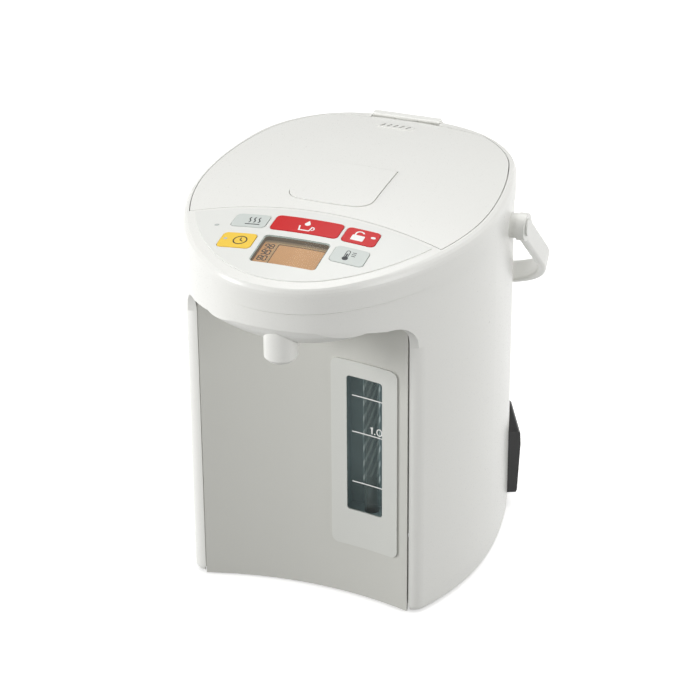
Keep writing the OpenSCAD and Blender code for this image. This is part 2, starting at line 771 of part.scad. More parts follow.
module outer_jacket()
    color("gray") at_vessel() rotate_extrude() difference() {
        polygon([[vessel_r, jacket_z], [jacket_r - 4, jacket_z], [jacket_r, jacket_z + 4],
            [jacket_r, seam_z - 16], [jacket_r - 3, seam_z - 8], [jacket_r - 3, seam_z - steel_t],
            [vessel_r, seam_z - steel_t]]);
        polygon([[vessel_r, jacket_z + steel_t], [jacket_r - 4.3, jacket_z + steel_t],
            [jacket_r - steel_t, jacket_z + 4.3], [jacket_r - steel_t, seam_z - 16.3],
            [jacket_r - 3.8, seam_z - 8.3], [jacket_r - 3.8, seam_z], [vessel_r - 1, seam_z],
            [vessel_r - 1, jacket_z + steel_t]]);
    }

module mouth_packing()
    color("white") at_vessel() translate([0, 0, seam_z]) tube(jacket_r - 3, mouth_r + 3.5, 2);

module heater_ring()
    color("goldenrod") at_vessel() translate([0, 0, vessel_z - heater_t]) difference() {
        tube(52, 16, heater_t);
        translate([38, -5, -1]) cube([20, 10, heater_t - 1]);
    }

module thermistor()
    color("dimgray") at_vessel() translate([0, 0, vessel_z - 9]) {
        cylinder(r = 5, h = 9);
        translate([0, 0, -2]) cylinder(r = 8, h = 3);
    }

module heat_shield()
    color("lightgray") at_vessel() difference() {
        rotate_extrude() polygon([[0, vessel_z - 12.6], [70, vessel_z - 12.6], [jacket_r - 1, vessel_z],
            [jacket_r - 1, jacket_z], [jacket_r - 2, jacket_z], [jacket_r - 2, vessel_z + 0.4],
            [69.6, vessel_z - 11.6], [0, vessel_z - 11.6]]);
        translate([pump_x, -pump_y - vessel_y, 0]) cylinder(r = pipe_r + 2.5, h = 90);
    }

STAND_POSTS = [for (a = [0, 90, 180, 240]) 62 * [cos(a), sin(a)]];

module vessel_stand()
    color("lightgray") at_vessel() {
        translate([0, 0, vessel_z - 16.6]) difference() {
            tube(69, 46, 4);
            translate([pump_x, -pump_y - vessel_y, -1]) cylinder(r = pipe_r + 2.5, h = 6);
        }
        for (p = STAND_POSTS) translate([p[0], p[1], base_top]) {
            cylinder(r = 5, h = vessel_z - 15 - base_top);
            cylinder(r = 8, h = 2.5);
        }
    }

// ---------- pump and pipes ----------

module motor_cushion() color("black") at_pump() translate([0, 0, base_top]) tube(motor_r + 2, 5, 3);

module pump_motor()
    color("silver") at_pump() difference() {
        union() {
            translate([0, 0, pump_base]) cylinder(r = motor_r, h = motor_h - 1);
            translate([0, 0, pump_base]) cylinder(r = 4, h = motor_h);
        }
        translate([0, 0, pump_base + 6]) cylinder(r = 1.5 + pin_fit, h = motor_h);
    }

module motor_rotor()
    color("dimgray") at_pump() {
        translate([0, 0, pump_base + 6.3]) cylinder(r = 1.5, h = motor_h);
        translate([0, 0, rotor_z]) tube(impeller_r, 1.5, 6);
        translate([0, 0, rotor_z]) cylinder(r = 4, h = 6);
    }

module pump_partition()
    color("white") at_pump() difference() {
        union() {
            translate([0, 0, partition_z]) cylinder(r = impeller_r + 6, h = 1.5);
            translate([0, 0, pump_base]) tube(impeller_r + 6, impeller_r + 3.5, partition_z - pump_base);
            translate([0, 0, partition_z]) cylinder(r = 1.2, h = impeller_h + 2);
        }
        translate([-3, impeller_r, pump_base - 1]) cube([6, 10, 12]);
    }

module impeller()
    color("ivory") at_pump() difference() {
        union() {
            translate([0, 0, impeller_z]) cylinder(r = impeller_r, h = 3);
            translate([0, 0, impeller_z]) cylinder(r = 4, h = impeller_h);
            for (a = [0 : 60 : 300]) rotate([0, 0, a]) translate([3, -0.8, impeller_z])
                cube([impeller_r - 4, 1.6, impeller_h]);
        }
        translate([0, 0, impeller_z - 1]) cylinder(r = 1.2 + pin_fit, h = impeller_h + 2);
    }

module pump_housing()
    color("white") at_pump() difference() {
        union() {
            translate([0, 0, partition_z + 1.5])
                cylinder(r = impeller_r + 6, h = pump_top - partition_z - 1.5);
            translate([0, 0, pump_top - 1]) cylinder(r = pipe_r, h = vessel_z - pump_top - 1);
            translate([gauge_x - pump_x, 0, outlet_z]) rotate([90, 0, 0])
                cylinder(r = pipe_r, h = riser_y - elbow_r - pump_y - 6);
        }
        translate([0, 0, partition_z]) cylinder(r = impeller_r + 1, h = pump_top - partition_z - 3);
        translate([0, 0, pump_top - 4]) cylinder(r = bore_r, h = vessel_z);
        translate([gauge_x - pump_x, 1, outlet_z]) rotate([90, 0, 0]) cylinder(r = bore_r - 0.4, h = 60);
    }

module inlet_sleeve()
    color("silver") at_pump() translate([0, 0, vessel_z - 9]) difference() {
        cylinder(r = pipe_r + 1.8, h = 9);
        translate([0, 0, -1]) cylinder(r = pipe_r, h = 8);
        cylinder(r = bore_r, h = 10);
    }

module outlet_elbow()
    color("silver") translate([gauge_x, 0, 0]) {
        translate([0, -riser_y + elbow_r, outlet_z + elbow_r])
            rotate([0, 90, 0]) rotate_extrude(angle = 90, start = -90)
                translate([elbow_r, 0]) difference() {
                    circle(pipe_r + 1.8);
                    circle(bore_r);
                }
        translate([0, -riser_y + elbow_r, outlet_z]) rotate([-90, 0, 0])
            tube(pipe_r + 1.8, pipe_r, 6);
        translate([0, -riser_y, riser_bottom]) tube(pipe_r + 1.8, pipe_r, 4);
    }

module tip_valve()
    color("white") translate([gauge_x, -riser_y, 0]) difference() {
        union() {
            translate([0, 0, valve_z - 5]) cylinder(r = riser_r + 1.8, h = 6);
            translate([0, 0, valve_z]) cylinder(r = riser_r + 4, h = valve_h);
        }
        translate([0, 0, valve_z - 6]) cylinder(r = riser_r, h = 6);
        cylinder(r = bore_r, h = valve_z + 8);
        translate([0, 0, valve_z + 4]) cylinder(r1 = bore_r, r2 = riser_r + 2.2, h = 4);
        translate([0, 0, valve_z + 8]) cylinder(r = riser_r + 2.2, h = valve_h - 12);
        cylinder(r = bore_r, h = valve_z + valve_h + 5);
    }

ball_r = 4.6;
ball_rise = 4 + sqrt(pow(ball_r + gap / 2, 2) - bore_r * bore_r);

module tip_valve_ball()
    color("silver") translate([gauge_x, -riser_y, valve_z + ball_rise]) sphere(ball_r);

// A round wire of radius w, wound in turns on the radius r over the height h.
module coil(r, w, h, turns, steps = 14, sides = 6) {
    n = turns * steps;
    points = [for (i = [0 : n]) for (j = [0 : sides - 1]) let (a = 360 * i / steps, b = 360 * j / sides)
        [(r + w * cos(b)) * cos(a), (r + w * cos(b)) * sin(a), h * i / n + w * sin(b)]];
    polyhedron(points, concat(
        [[for (j = [0 : sides - 1]) j], [for (j = [sides - 1 : -1 : 0]) n * sides + j]],
        [for (i = [0 : n - 1]) for (j = [0 : sides - 1]) let (k = (j + 1) % sides)
            [i * sides + j, (i + 1) * sides + j, (i + 1) * sides + k, i * sides + k]]));
}

pipe_bend = 8;

module pipe_section()
    difference() {
        circle(pipe_r);
        circle(bore_r);
    }

module pipe_elbow(start)
    rotate([90, 0, 0]) rotate_extrude(angle = 90, start = start) translate([pipe_bend, 0]) pipe_section();

// Up from the tip valve, across to the nose and down into the spout.
module spout_pipe() {
    run = [-gauge_x, riser_y - spout_y];
    reach = norm(run);
    color("silver") translate([gauge_x, -riser_y, 0]) rotate([0, 0, atan2(run[1], run[0])]) {
        translate([0, 0, valve_z + valve_h])
            linear_extrude(cross_z - pipe_bend - valve_z - valve_h) pipe_section();
        translate([pipe_bend, 0, cross_z - pipe_bend]) pipe_elbow(90);
        translate([pipe_bend, 0, cross_z]) rotate([0, 90, 0])
            linear_extrude(reach - 2 * pipe_bend) pipe_section();
        translate([reach - pipe_bend, 0, cross_z - pipe_bend]) pipe_elbow(0);
        translate([reach, 0, spout_z + 12])
            linear_extrude(cross_z - pipe_bend - spout_z - 12) pipe_section();
    }
}

// ---------- boards ----------

board_z = base_top + 8;
module at_board() translate([-50, -16, 0]) children();

module power_board()
    color("peru") at_board() translate([0, 0, board_z]) cube([48, 88, board_t]);

module board_parts()
    at_board() translate([0, 0, board_z + board_t]) {
        color("gold") translate([6, 56, 0]) cube([26, 22, 22]);
        color("black") translate([8, 36, 0]) cube([18, 14, 14]);
        color("navy") for (y = [10, 24]) translate([16, y, 0]) cylinder(r = 5, h = 18);
        color("white") translate([34, 8, 0]) cube([8, 26, 9]);
        color("dimgray") translate([38, 42, 0]) cube([3, 22, 20]);
    }

// ---------- lid ----------

module lid_plan(inset, z0, z1)
    difference() {
        slab(rim_w + lid_gap + inset, z0, z1);
        in_front_of_lid(inset);
        translate([-half_w, lid_back - inset, 0]) cube([body_w, 60, above_all + 9]);
    }

// The lever's plan: a bowed front edge, round front corners and straight flanks, grown by grow.
lever_corner_x = lever_half - lever_corner_r;
lever_corner_y = lever_front_r - lever_front
    - sqrt(pow(lever_front_r - lever_corner_r, 2) - pow(lever_corner_x, 2));
lever_bow = asin(lever_corner_x / (lever_front_r - lever_corner_r));
function lever_outline(grow, rear) = let (half = concat(
        [for (i = [0 : 3]) let (a = lever_bow * i / 4)
            [(lever_front_r + grow) * sin(a), lever_front_r - lever_front - (lever_front_r + grow) * cos(a)]],
        [for (i = [0 : 6]) let (a = (lever_bow - 90) * (1 - i / 6))
            [lever_corner_x + (lever_corner_r + grow) * cos(a),
                lever_corner_y + (lever_corner_r + grow) * sin(a)]],
        [[lever_half + grow, lever_back + rear]]))
    concat(half, [for (i = [len(half) - 1 : -1 : 1]) [-half[i][0], half[i][1]]]);

module lever_prism(grow, rear, z0, z1)
    translate([0, 0, z0]) linear_extrude(z1 - z0) polygon(lever_outline(grow, rear));

module at_lever_pins()
    for (s = [0, 1]) mirror([s, 0, 0]) translate([0, lever_axis_y, lever_axis_z]) children();

module lid_outer()
    color("white") difference() {
        union() {
            difference() {
                intersection() {
                    lid_plan(0, lid_skirt_z, above_all);
                    dome(0);
                }
                intersection() {
                    lid_plan(wall, lid_skirt_z - 1, above_all - 1);
                    dome(-wall);
                }
            }
            difference() {
                intersection() {
                    lever_prism(2.5, 4, rim_z - 4, above_all);
                    dome(-1);
                }
                dome(-lever_t - 3.4);
            }
            translate([0, hinge_y, hinge_z]) along_x(knuckle_r, -knuckle_w / 2, knuckle_w / 2);
            translate([-knuckle_w / 2, lid_back - 2, hinge_z - 4]) cube([knuckle_w, 8, 8]);
        }
        difference() {
            lever_prism(0.5, lever_rear_gap, rim_z - 4, above_all);
            dome(lever_float - lever_t - 1.2);
        }
        at_lever_pins() along_x(lever_pin_r, lever_half - 7, lever_half + 2);
        translate([0, hinge_y, hinge_z])
            along_x(hinge_pin_r + pin_fit, -knuckle_w / 2 - 1, knuckle_w / 2 + 1);
        translate([0, vent_y, 0]) upright(vent_w - 3, vent_d - 3, 2, rim_z, above_all);
        translate([-14 - gap, -lid_front - 5, lid_skirt_z - 1]) cube([28 + 2 * gap, 12, 5.6 + 1]);
        translate([-8 - gap, hinge_y - 3 - gap, hinge_z + 3.4]) cube([16 + 2 * gap, 6 + 2 * gap, 12]);
    }

module lid_under()
    color("white") difference() {
        union() {
            lid_plan(0, lid_under_z, lid_skirt_z);
            translate([-5, latch_spring_y - lid_front + latch_spring_l, lid_under_z]) cube([10, 2, 8]);
        }
        at_vessel() cylinder(r = 3, h = above_all);
        translate([0, 84, 0]) cylinder(r = 3, h = above_all);
    }

module lid_cover()
    color("silver") at_vessel() difference() {
        rotate_extrude() difference() {
            polygon([[0, lid_under_z], [66, lid_under_z], [66, lid_under_z - 0.8],
                [64, lid_under_z - 0.8], [64, lid_under_z - 6], [61, lid_under_z - 8.4],
                [0, lid_under_z - 8.4]]);
            polygon([[-1, lid_under_z + 1], [63.2, lid_under_z + 1], [63.2, lid_under_z - 5.8],
                [60.7, lid_under_z - 7.6], [-1, lid_under_z - 7.6]]);
        }
        for (a = [60 : 10 : 120]) rotate([0, 0, a]) translate([50, 0, 0]) cylinder(r = 1.5, h = above_all);
    }

module lid_gasket()
    color("gainsboro") at_vessel() rotate_extrude()
        polygon([[64, lid_under_z - 0.8], [71, lid_under_z - 0.8], [71.4, seam_z + 1.6],
            [72, seam_z + gap], [71, seam_z + gap], [69.4, seam_z + 2.4], [64, seam_z + 2.4]]);

module lid_lever()
    color("white") difference() {
        intersection() {
            lever_prism(0, 0, rim_z - 4, above_all);
            dome(lever_float);
        }
        dome(lever_float - lever_t);
        at_lever_pins() along_x(lever_pin_r + pin_fit, lever_half - 7.1, lever_half + 2);
    }

module lever_pins()
    color("silver") at_lever_pins() along_x(lever_pin_r, lever_half - 7, lever_half + 2);

module lid_latch()
    color("gainsboro") translate([0, -lid_front, lid_skirt_z + gap]) {
        translate([-14, 0.2, 0]) cube([28, 16, 5]);
        translate([-20, 6, 0]) cube([40, 10, 5]);
    }

module latch_spring()
    color("silver") translate([0, latch_spring_y - lid_front + 0.5, lid_skirt_z + 3])
        rotate([-90, 0, 0]) coil(2, 0.3, latch_spring_l - 0.9, 5);

module steam_vent()
    color("white") difference() {
        intersection() {
            union() {
                translate([0, vent_y, 0]) upright(vent_w, vent_d, 4, rim_z, above_all);
                translate([0, vent_y, 0]) upright(vent_w - 3.4, vent_d - 3.4, 1.8, rim_z - 2, above_all);
            }
            dome(0.5);
        }
        difference() {
            dome(0);
            translate([0, vent_y, 0]) upright(vent_w - 3.4, vent_d - 3.4, 1.8, rim_z - 4, above_all);
        }
        for (i = [-2 : 2]) translate([4.6 * i, vent_y, 0]) rotate([0, 0, -20])
            upright(1.6, 6, 0.7, rim_z - 5, above_all);
    }

module steam_box()
    color("gainsboro") difference() {
        translate([-18, 76, lid_skirt_z]) cube([36, 30, 8.2]);
        translate([-16.5, 77.5, lid_skirt_z - 1]) cube([33, 27, 7.7]);
        translate([0, vent_y, 0]) upright(vent_w - 6, 4, 1, lid_skirt_z, above_all);
    }

module hinge_pin()
    color("silver") translate([0, hinge_y, hinge_z])
        along_x(hinge_pin_r, -knuckle_w / 2 - 5, knuckle_w / 2 + 5);

// A tab that bends over the hinge knuckle, with a tongue that slides in the knuckle's slot.
module detach_lever()
    color("white") translate([0, hinge_y, hinge_z]) {
        intersection() {
            translate([-knuckle_w / 2, 0, knuckle_r + gap]) rotate([90, 0, 90]) linear_extrude(knuckle_w)
                polygon([[-4, 0], [1.5, 0], [4.5, -1.6], [7.2, -4.4], [8, -3.2], [7.4, -1.6],
                    [4.4, 0.5], [1, 1.5], [-3.2, 1.6], [-4, 1]]);
            translate([0, -1, 0]) upright(knuckle_w - 1, 18.8, 6, 0, 20);
        }
        translate([-8, -3, 3.4 + gap]) cube([16, 6 - tab_travel, 2.6]);
    }

// ---------- nodes ----------

body_casing();
front_panel();
gauge_bezel();
gauge_window();
gauge_housing();
riser_tube();
nose_cover();
spout();
top_frame();
control_film();
display_window();
display_module();
dispense_key();
unlock_key();
boil_key();
timer_key();
temperature_key();
panel_board();
key_switches();
panel_screws();
handle_bushes();
bail_handle();
base_plate();
rubber_feet();
base_screws();
power_receptacle();
receptacle_pins();
inner_vessel();
outer_jacket();
mouth_packing();
heater_ring();
thermistor();
heat_shield();
vessel_stand();
pump_motor();
motor_cushion();
motor_rotor();
pump_partition();
impeller();
pump_housing();
inlet_sleeve();
outlet_elbow();
tip_valve();
tip_valve_ball();
spout_pipe();
power_board();
board_parts();
lid_outer();
lid_under();
lid_cover();
lid_gasket();
lid_lever();
lever_pins();
lid_latch();
latch_spring();
steam_vent();
steam_box();
hinge_pin();
detach_lever();
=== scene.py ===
# Looks of an electric thermo pot: materials, printed details, floor, lights and camera, round the
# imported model. Everything is in metres, +Z up, -Y towards the spout, +X towards the level gauge.
import math

import bmesh
import bpy
from mathutils import Matrix, Vector


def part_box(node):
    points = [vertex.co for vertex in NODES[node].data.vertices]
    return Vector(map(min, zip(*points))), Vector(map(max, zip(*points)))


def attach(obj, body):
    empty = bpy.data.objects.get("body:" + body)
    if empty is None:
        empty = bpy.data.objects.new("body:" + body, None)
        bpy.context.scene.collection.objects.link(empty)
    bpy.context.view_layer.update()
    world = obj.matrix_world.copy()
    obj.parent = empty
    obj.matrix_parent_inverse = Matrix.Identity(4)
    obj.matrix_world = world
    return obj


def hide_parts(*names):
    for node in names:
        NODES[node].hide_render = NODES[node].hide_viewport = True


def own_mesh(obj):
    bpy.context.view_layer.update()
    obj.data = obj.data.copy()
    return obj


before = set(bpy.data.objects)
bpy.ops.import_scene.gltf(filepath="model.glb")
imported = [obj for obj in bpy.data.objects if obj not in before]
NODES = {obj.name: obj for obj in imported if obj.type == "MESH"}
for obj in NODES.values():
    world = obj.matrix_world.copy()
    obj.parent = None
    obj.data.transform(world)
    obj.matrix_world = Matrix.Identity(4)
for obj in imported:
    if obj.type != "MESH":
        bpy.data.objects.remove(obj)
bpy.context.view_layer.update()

MM = 0.001

# The domed top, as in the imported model.
CROWN_Z = 0.276
SIDE_R = (0.105 ** 2 + 0.012 ** 2) / 0.024
LONG_R = (0.140 ** 2 + 0.012 ** 2) / 0.024
FILM_RISE = 0.6
KEY_RISE = 0.9

# The hollow front panel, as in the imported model: its edges, its middle and its radius.
PANEL_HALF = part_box("front_panel")[1].x
PANEL_MIDDLE = -0.079
PANEL_DIP = 0.011
PANEL_R = (PANEL_HALF ** 2 + PANEL_DIP ** 2) / (2 * PANEL_DIP)

# Centres of the keys and the display in plan, in millimetres.
KEY_CENTRES = {"dispense_key": (0, -77), "unlock_key": (37, -77.7), "boil_key": (-38.5, -78),
               "timer_key": (-38.5, -102.4), "temperature_key": (37.5, -101)}
DISPLAY = (0, -108)
LCD_SIZE = (46, 32)
LCD_LEVELS = (-3.3, -2.7)
# Band in plan, in millimetres, over which the display's painted shadow of the deck's rear edge comes in.
LCD_SHADOW_BAND = (-98.5, -94.5)
GAUGE_X = 41
WINDOW_RISE = 0.9
REFLECTOR_FOOT = 0.086
LEVEL_LINES = (91.8, 130.2, 157.6)


# ---------- shader helpers ----------

def new_material(name):
    mat = bpy.data.materials.new(name)
    mat.use_nodes = True
    mat.node_tree.nodes.clear()
    return mat


def add(mat, kind, **values):
    """A shader node. Names with a leading underscore set properties, the others set sockets."""
    node = mat.node_tree.nodes.new(kind)
    for key, value in values.items():
        if key.startswith("_"):
            setattr(node, key[1:], value)
        else:
            node.inputs[key.replace("_", " ")].default_value = value
    return node


def join(mat, source, target):
    mat.node_tree.links.new(source, target)


def srgb(r, g, b, a=1.0):
    """A colour as it shows on a screen, 0 to 255, as linear light."""
    def lin(v):
        v /= 255.0
        return v / 12.92 if v <= 0.04045 else ((v + 0.055) / 1.055) ** 2.4
    return (lin(r), lin(g), lin(b), a)


def noise(mat, scale, detail=3.0, rough=0.5, stretch=(1, 1, 1)):
    """A noise over the object's own coordinates, in which one unit is a metre."""
    coord = add(mat, "ShaderNodeTexCoord")
    place = add(mat, "ShaderNodeMapping")
    place.inputs["Scale"].default_value = stretch
    tex = add(mat, "ShaderNodeTexNoise", Scale=scale, Detail=detail, Roughness=rough)
    join(mat, coord.outputs["Object"], place.inputs["Vector"])
    join(mat, place.outputs["Vector"], tex.inputs["Vector"])
    return tex.outputs["Fac"]


def spread(mat, source, low, high):
    """Maps a noise, which stays near the middle, softly onto about low..high."""
    ramp = add(mat, "ShaderNodeMapRange", _clamp=False)
    ramp.inputs["From Min"].default_value = 0.25
    ramp.inputs["From Max"].default_value = 0.75
    ramp.inputs["To Min"].default_value = low
    ramp.inputs["To Max"].default_value = high
    join(mat, source, ramp.inputs["Value"])
    return ramp.outputs["Result"]


def mix(mat, factor, a, b):
    """A mix of two colours, each a tuple or an output."""
    node = add(mat, "ShaderNodeMix", _data_type="RGBA")
    for socket, value in ((node.inputs[6], a), (node.inputs[7], b)):
        if isinstance(value, tuple):
            socket.default_value = value
        else:
            join(mat, value, socket)
    if isinstance(factor, float):
        node.inputs[0].default_value = factor
    else:
        join(mat, factor, node.inputs[0])
    return node.outputs[2]


def finish_surface(mat, shader):
    out = add(mat, "ShaderNodeOutputMaterial")
    join(mat, shader.outputs[0], out.inputs["Surface"])
    return mat


def grain_bump(mat, shader, height, distance, strength=1.0):
    bump = add(mat, "ShaderNodeBump", Strength=strength, Distance=distance)
    join(mat, height, bump.inputs["Height"])
    join(mat, bump.outputs["Normal"], shader.inputs["Normal"])


def moulded(name, colour, rough=(0.30, 0.38), shade=0.985, grain=2600.0, depth=0.000002,
            specular=0.5, coat=0.0):
    """Injection moulded plastic: a faint cloud in the colour, and a fine grain in gloss and relief."""
    mat = new_material(name)
    shader = add(mat, "ShaderNodeBsdfPrincipled")
    shader.inputs["Specular IOR Level"].default_value = specular
    shader.inputs["Coat Weight"].default_value = coat
    shader.inputs["Coat Roughness"].default_value = 0.08
    darker = (colour[0] * shade, colour[1] * shade, colour[2] * shade, 1.0)
    cloud = spread(mat, noise(mat, 900.0, 2.0), 0.0, 1.0)
    join(mat, mix(mat, cloud, colour, darker), shader.inputs["Base Color"])
    join(mat, spread(mat, noise(mat, 1200.0, 2.0), rough[0], rough[1]), shader.inputs["Roughness"])
    grain_bump(mat, shader, noise(mat, grain, 2.0), depth)
    return finish_surface(mat, shader)


def metal(name, colour, rough=(0.22, 0.36), stretch=(1, 1, 40), scale=60.0, depth=0.000006):
    """Brushed or plated metal: streaks in colour, gloss and relief."""
    mat = new_material(name)
    shader = add(mat, "ShaderNodeBsdfPrincipled", Metallic=1.0)
    streaks = noise(mat, scale, 6.0, 0.6, stretch)
    darker = tuple(c * 0.86 for c in colour[:3]) + (1.0,)
    join(mat, mix(mat, spread(mat, streaks, 0.0, 1.0), colour, darker), shader.inputs["Base Color"])
    join(mat, spread(mat, streaks, rough[0], rough[1]), shader.inputs["Roughness"])
    grain_bump(mat, shader, streaks, depth)
    return finish_surface(mat, shader)


def clear(name, colour, haze=0.04, rough=0.06):
    """Thin clear plastic: it lets light straight through, with some haze, and shines at a slant."""
    mat = new_material(name)
    through = add(mat, "ShaderNodeBsdfTransparent")
    tint = tuple(c * 0.97 for c in colour[:3]) + (1.0,)
    cloud = spread(mat, noise(mat, 30.0), 0.0, 1.0)
    join(mat, mix(mat, cloud, colour, tint), through.inputs["Color"])
    skin = add(mat, "ShaderNodeBsdfPrincipled", Roughness=rough)
    skin.inputs["Base Color"].default_value = colour
    grain_bump(mat, skin, noise(mat, 45.0, 1.0), 0.00001)
    slant = add(mat, "ShaderNodeLayerWeight", Blend=0.5)
    steep = add(mat, "ShaderNodeMath", _operation="POWER")
    steep.inputs[1].default_value = 4.0
    amount = add(mat, "ShaderNodeMath", _operation="MULTIPLY_ADD")
    amount.inputs[1].default_value = 0.7
    amount.inputs[2].default_value = haze
    join(mat, slant.outputs["Facing"], steep.inputs[0])
    join(mat, steep.outputs[0], amount.inputs[0])
    pick = add(mat, "ShaderNodeMixShader")
    join(mat, amount.outputs[0], pick.inputs[0])
    join(mat, through.outputs[0], pick.inputs[1])
    join(mat, skin.outputs[0], pick.inputs[2])
    return finish_surface(mat, pick)


def display_painted_light(name):
    """Liquid crystal in amber, with a painted glow in place of the light that reaches it through the
    window, and a painted shadow of the overhanging deck along the rear edge.
    """
    mat = new_material(name)
    shader = add(mat, "ShaderNodeBsdfPrincipled", Roughness=0.35)
    coord = add(mat, "ShaderNodeTexCoord")
    axes = add(mat, "ShaderNodeSeparateXYZ")
    join(mat, coord.outputs["Object"], axes.inputs[0])
    # painted shadow: the display darkens towards its rear edge, where the deck overhangs it
    shadow_band = add(mat, "ShaderNodeMapRange", _interpolation_type="SMOOTHSTEP")
    shadow_band.inputs["From Min"].default_value = LCD_SHADOW_BAND[0] * MM
    shadow_band.inputs["From Max"].default_value = LCD_SHADOW_BAND[1] * MM
    join(mat, axes.outputs["Y"], shadow_band.inputs["Value"])
    cloud = spread(mat, noise(mat, 90.0, 2.0), 0.0, 1.0)
    amber = mix(mat, cloud, srgb(222, 158, 104), srgb(214, 150, 98))
    tone = mix(mat, shadow_band.outputs["Result"], amber, srgb(150, 124, 98))
    join(mat, tone, shader.inputs["Base Color"])
    # painted glow: the display shines by its own emission, in place of light through the window
    join(mat, tone, shader.inputs["Emission Color"])
    shader.inputs["Emission Strength"].default_value = 0.42
    return finish_surface(mat, shader)


def hatched(name, base, line, pitch=0.0036, lean=3.2):
    """Fine slanted lines on a sheet, such as stand behind the tube of a level gauge, with a faint painted
    glow.
    """
    mat = new_material(name)
    shader = add(mat, "ShaderNodeBsdfPrincipled", Roughness=0.5)
    coord = add(mat, "ShaderNodeTexCoord")
    turn = add(mat, "ShaderNodeMapping")
    turn.inputs["Scale"].default_value = (lean, 0.0, -1.0)
    total = add(mat, "ShaderNodeVectorMath", _operation="DOT_PRODUCT")
    total.inputs[1].default_value = (1.0, 0.0, 1.0)
    join(mat, coord.outputs["Object"], turn.inputs["Vector"])
    join(mat, turn.outputs["Vector"], total.inputs[0])
    wave = add(mat, "ShaderNodeMath", _operation="MULTIPLY")
    wave.inputs[1].default_value = 2 * math.pi / (pitch * lean)
    join(mat, total.outputs["Value"], wave.inputs[0])
    sine = add(mat, "ShaderNodeMath", _operation="SINE")
    join(mat, wave.outputs[0], sine.inputs[0])
    edge = add(mat, "ShaderNodeMapRange")
    edge.inputs["From Min"].default_value = 0.1
    edge.inputs["From Max"].default_value = 0.6
    join(mat, sine.outputs[0], edge.inputs["Value"])
    tone = mix(mat, edge.outputs["Result"], base, line)
    join(mat, tone, shader.inputs["Base Color"])
    # painted glow: a little emission lifts the sheet, which sits in the gauge's shaded recess
    join(mat, tone, shader.inputs["Emission Color"])
    shader.inputs["Emission Strength"].default_value = 0.12
    join(mat, spread(mat, noise(mat, 300.0), 0.42, 0.56), shader.inputs["Roughness"])
    return finish_surface(mat, shader)


# ---------- materials ----------

WHITE = srgb(240, 240, 236)

M = {
    "white": moulded("white_moulding", WHITE, (0.26, 0.36)),
    "white_inner": moulded("natural_moulding", srgb(226, 226, 220), (0.40, 0.52), grain=1800.0),
    "panel": moulded("satin_panel", srgb(211, 211, 205), (0.36, 0.46), depth=0.000006),
    "bezel": moulded("bezel_grey", srgb(219, 220, 215), (0.32, 0.42), depth=0.000004),
    "film": moulded("printed_film", srgb(233, 234, 230), (0.30, 0.34), shade=0.995, depth=0.0000005),
    "red": moulded("key_red", srgb(208, 20, 24), (0.30, 0.40), shade=0.96, specular=0.35),
    "yellow": moulded("key_yellow", srgb(247, 208, 78), (0.30, 0.40), shade=0.98, specular=0.35),
    "grey": moulded("key_grey", srgb(209, 215, 211), (0.30, 0.40), specular=0.35),
    "black": moulded("black_moulding", srgb(28, 28, 29), (0.38, 0.52), shade=0.8, depth=0.000012),
    "dark": moulded("gauge_back", srgb(200, 212, 216), (0.45, 0.60), shade=0.96),
    "rubber": moulded("grey_rubber", srgb(92, 92, 92), (0.62, 0.78), shade=0.85, depth=0.00004),
    "silicone": moulded("silicone", srgb(212, 212, 206), (0.42, 0.55), shade=0.93),
    "green": moulded("board_green", srgb(24, 96, 62), (0.28, 0.42), shade=0.8, grain=2500.0),
    "brown": moulded("board_brown", srgb(158, 118, 70), (0.40, 0.55), shade=0.85, grain=2500.0),
    "steel": metal("brushed_stainless", srgb(206, 206, 204)),
    "pressed": metal("pressed_stainless", srgb(206, 206, 204), (0.24, 0.32), (1, 1, 1), 800.0, 0.000001),
    "plated": metal("plated_steel", srgb(196, 196, 194), (0.28, 0.42), (1, 1, 1), 220.0),
    "brass": metal("brass", srgb(206, 172, 108), (0.25, 0.38), (1, 1, 1), 260.0),
    "window": clear("window_clear", srgb(240, 244, 243), 0.015),
    "tube": clear("tube_clear", srgb(240, 244, 244), 0.10),
    "lcd": display_painted_light("display_painted_glow_and_shadow"),
    "hatch": hatched("gauge_hatch", srgb(160, 172, 176), srgb(250, 253, 253)),
    "print_white": moulded("print_white", srgb(246, 246, 244), (0.40, 0.50)),
    "print_dark": moulded("print_dark", srgb(38, 44, 48), (0.40, 0.50), shade=0.9),
    "print_brown": moulded("print_brown", srgb(84, 66, 48), (0.40, 0.50), shade=0.92),
    # painted shade for the walls of the display's recess
    "liner": moulded("display_liner", srgb(140, 118, 94), (0.45, 0.60), shade=0.9),
    "print_pale": moulded("print_pale", srgb(226, 182, 134), (0.40, 0.50)),
    "lens_grey": moulded("lamp_lens", srgb(196, 200, 198), (0.20, 0.30), coat=0.3),
}

